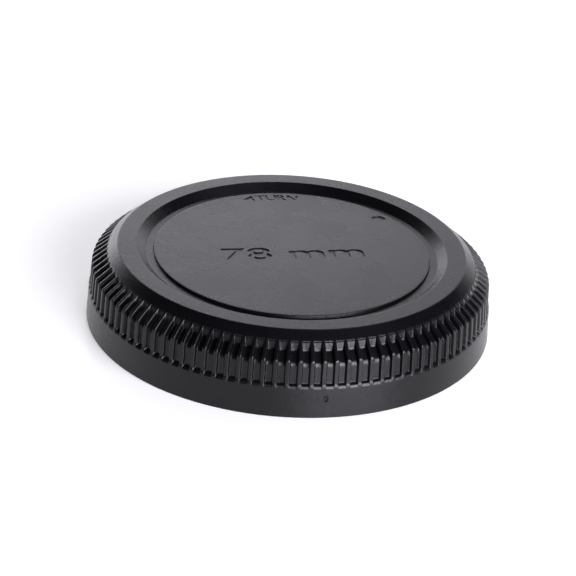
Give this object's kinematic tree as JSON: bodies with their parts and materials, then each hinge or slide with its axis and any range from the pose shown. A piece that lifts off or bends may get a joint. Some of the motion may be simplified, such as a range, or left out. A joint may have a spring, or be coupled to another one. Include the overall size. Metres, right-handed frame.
{
  "type": "camera mount cap",
  "caption": "Round push-and-turn cap for a camera lens mount: grooved grip skirt, sloped shoulder, recessed top panel, bayonet lugs inside the mouth.",
  "frame": {"origin": "centre of the mouth, on the surface that the cap stands on", "axes": "+Z through the closed top along the turning axis, -Y towards the side with the gate mark, +X to the right of it"},
  "size_m": [0.078, 0.078, 0.0152],
  "materials": {
    "moulded_plastic": "black injection moulding, fine satin grain"
  },
  "bodies": {
    "root": {"cap": "moulded_plastic"}
  },
  "joints": []
}
